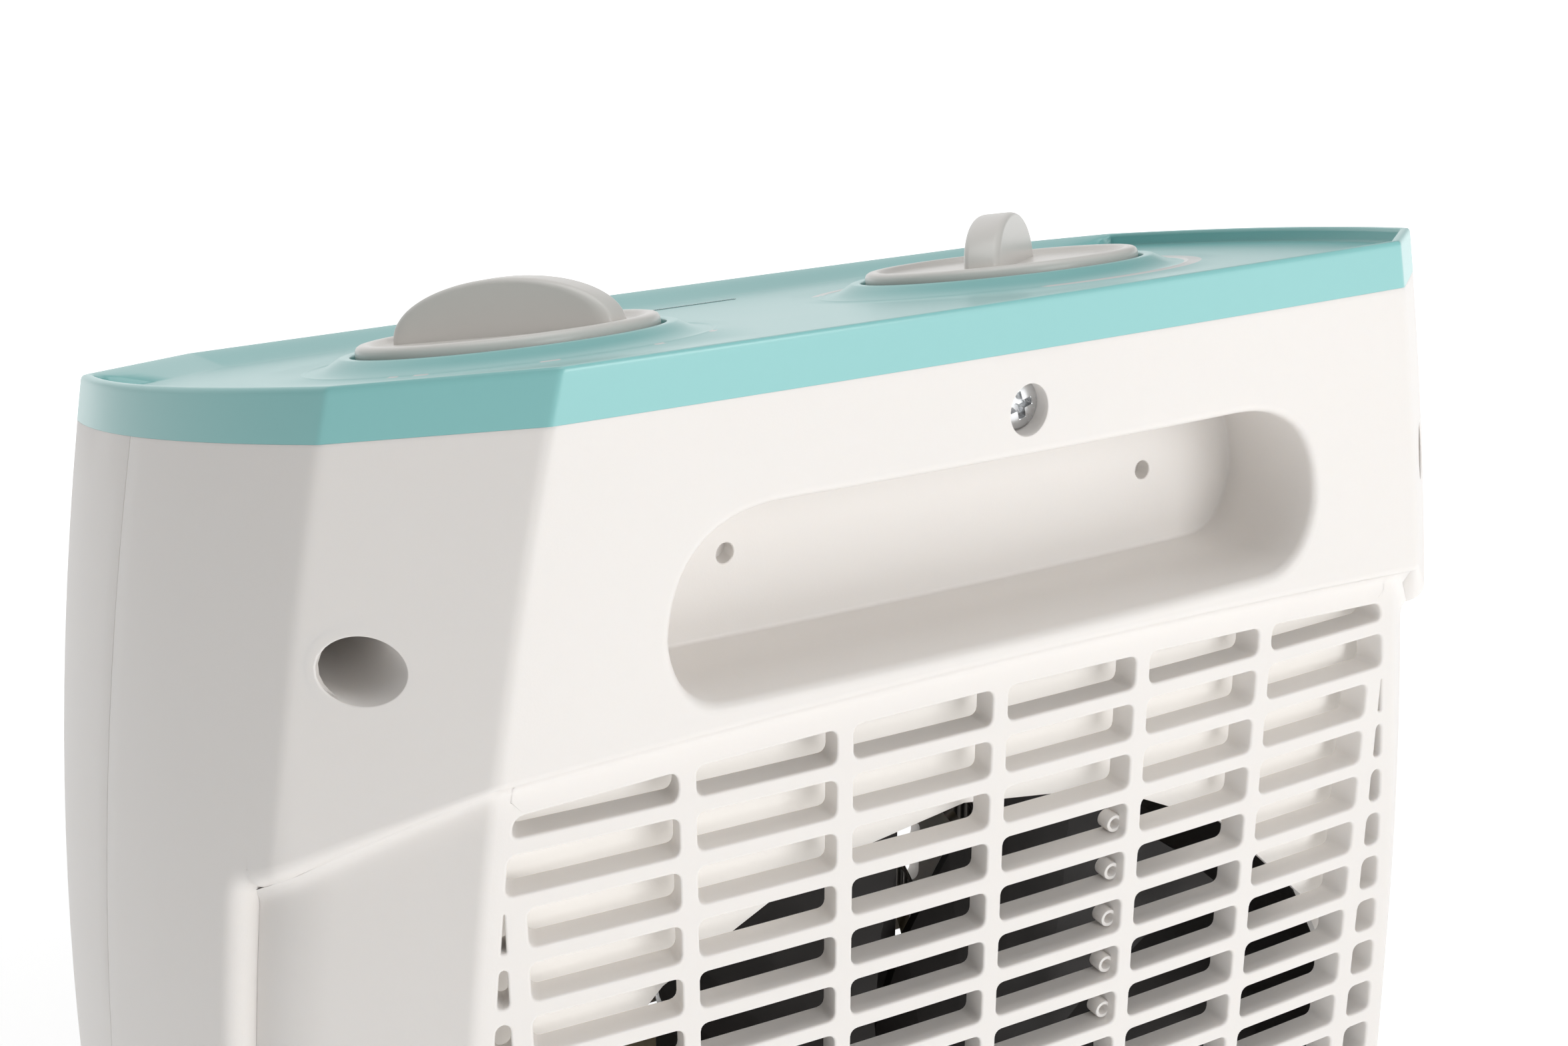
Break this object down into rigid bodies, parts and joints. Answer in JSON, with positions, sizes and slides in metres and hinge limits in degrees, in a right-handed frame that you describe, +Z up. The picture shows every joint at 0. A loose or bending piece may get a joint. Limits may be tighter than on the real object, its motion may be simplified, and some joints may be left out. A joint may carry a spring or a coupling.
{
  "type": "fan heater",
  "caption": "Compact upright fan heater with a sloping top, round control knobs, a rear handle recess and a slotted air intake.",
  "frame": {"origin": "on the floor under the middle of the overall box", "axes": "+Z up, +Y towards the slotted intake at the back, -Y out of the warm-air outlet"},
  "size_m": [0.2562, 0.1516, 0.2919],
  "materials": {
    "housing": "satin",
    "teal": "gloss",
    "knob": "satin",
    "zinc": "bright zinc",
    "steel": "satin",
    "dark": "matte",
    "rubber": "matte",
    "copper": "enamelled copper wire",
    "nichrome": "oxidised wire",
    "mica": "flaky sheet",
    "bronze": "sintered bronze",
    "lens": "translucent"
  },
  "bodies": {
    "housing": {"front_shell": "housing", "rear_shell": "housing", "rear_grille": "housing", "outlet_grille": "housing", "base_cover": "housing", "top_cap": "teal", "thermostat_body": "dark", "selector_body": "dark", "control_bracket": "steel", "indicator_lens": "lens", "fan_baffle": "housing", "fan_duct": "dark", "motor_mount": "steel", "motor_plate_rear": "steel", "motor_plate_front": "steel", "motor_bearing_rear": "bronze", "motor_bearing_front": "bronze", "motor_stator": "steel", "motor_coil": "copper", "heater_ring": "steel", "mica_cross": "mica", "heating_coil_1": "nichrome", "heating_coil_2": "nichrome", "heating_coil_3": "nichrome", "thermal_cutout": "zinc", "terminal_block": "dark", "cord_gland": "dark", "top_screw": "zinc", "case_screw_left": "zinc", "case_screw_right": "zinc", "base_screw_1": "zinc", "base_screw_2": "zinc", "base_screw_3": "zinc", "base_screw_4": "zinc", "foot_1": "rubber", "foot_2": "rubber", "foot_3": "rubber", "foot_4": "rubber"},
    "thermostat_control": {"thermostat_knob": "knob", "thermostat_shaft": "steel"},
    "selector_control": {"selector_knob": "knob", "selector_shaft": "steel"},
    "fan": {"fan_impeller": "dark", "motor_shaft": "steel", "fan_clip": "zinc", "motor_rotor": "steel"}
  },
  "joints": [
    {"name": "selector_turn", "type": "hinge", "parent": "housing", "child": "selector_control", "pos_m": [0.0491, -0.0046, 0.27321], "axis": [0, -0.2264, 0.974], "range_deg": [-45, 90]},
    {"name": "thermostat_turn", "type": "hinge", "parent": "housing", "child": "thermostat_control", "pos_m": [-0.0491, -0.0046, 0.27321], "axis": [0, -0.2264, 0.974], "range_deg": [-120, 150]},
    {"name": "fan_spin", "type": "hinge", "parent": "housing", "child": "fan", "pos_m": [0, 0.03, 0.111], "axis": [0, 1, 0], "continuous": true}
  ]
}
